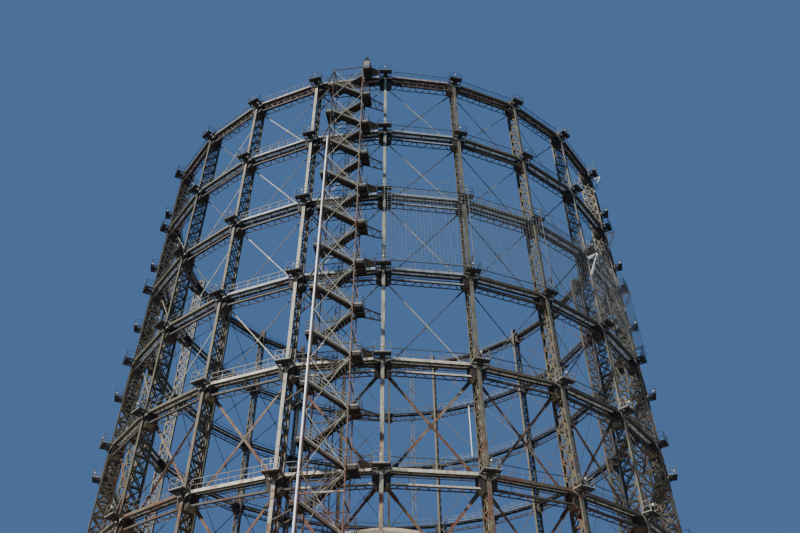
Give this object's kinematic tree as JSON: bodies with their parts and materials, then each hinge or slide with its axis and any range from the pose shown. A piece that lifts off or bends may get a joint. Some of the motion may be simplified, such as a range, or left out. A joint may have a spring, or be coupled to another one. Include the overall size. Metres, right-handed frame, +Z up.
{
  "type": "gas holder, as a 1:10 scale model",
  "caption": "Round guide frame of a gas holder: lattice columns, walkway rings and crossed braces round a domed tank, with an outside stair tower. 1:10 scale model.",
  "frame": {"origin": "on the frame's axis at ground level, on the underside of the tank floor", "axes": "+Z up; -Y towards column 1, with the stair tower to its left and the light net to its right seen from outside; a 1:10 scale model in metres"},
  "size_m": [6.486, 6.5737, 7.8328],
  "materials": {
    "column_paint": "weathered tan paint over riveted steel, rust at the joints",
    "girder_paint": "weathered cream paint, dirty in the corners",
    "brace_paint": "weathered paint, rusted through on the lower tiers",
    "stair_steel": "dark weathered paint",
    "rusted_steel": "rusted steel with traces of paint",
    "white_paint": "satin white paint",
    "net_cable": "dull wire and small lamp housings",
    "tank_paint": "dark weathered paint on riveted plate",
    "roof_sheet": "matt tan coated sheet in gores"
  },
  "bodies": {
    "root": {"column_01": "column_paint", "column_02": "column_paint", "column_03": "column_paint", "column_04": "column_paint", "column_05": "column_paint", "column_06": "column_paint", "column_07": "column_paint", "column_08": "column_paint", "column_09": "column_paint", "column_10": "column_paint", "column_11": "column_paint", "column_12": "column_paint", "column_13": "column_paint", "column_14": "column_paint", "column_15": "column_paint", "column_16": "column_paint", "column_17": "column_paint", "column_18": "column_paint", "column_19": "column_paint", "column_20": "column_paint", "column_21": "column_paint", "column_22": "column_paint", "column_23": "column_paint", "column_24": "column_paint", "ring_girder_1": "girder_paint", "ring_girder_2": "girder_paint", "ring_girder_3": "girder_paint", "ring_girder_4": "girder_paint", "ring_girder_5": "girder_paint", "ring_girder_6": "girder_paint", "ring_girder_7": "girder_paint", "ring_girder_8": "girder_paint", "brace_tier_1": "brace_paint", "brace_tier_2": "brace_paint", "brace_tier_3": "brace_paint", "brace_tier_4": "brace_paint", "brace_tier_5": "brace_paint", "brace_tier_6": "brace_paint", "brace_tier_7": "brace_paint", "stair_length_1": "stair_steel", "stair_length_2": "stair_steel", "stair_length_3": "stair_steel", "stair_length_4": "stair_steel", "stair_frame": "rusted_steel", "stair_head": "stair_steel", "riser_pipe": "white_paint", "light_net": "net_cable", "tank_floor": "tank_paint", "tank_wall": "tank_paint", "tank_roof": "tank_paint", "dome": "roof_sheet"}
  },
  "joints": []
}
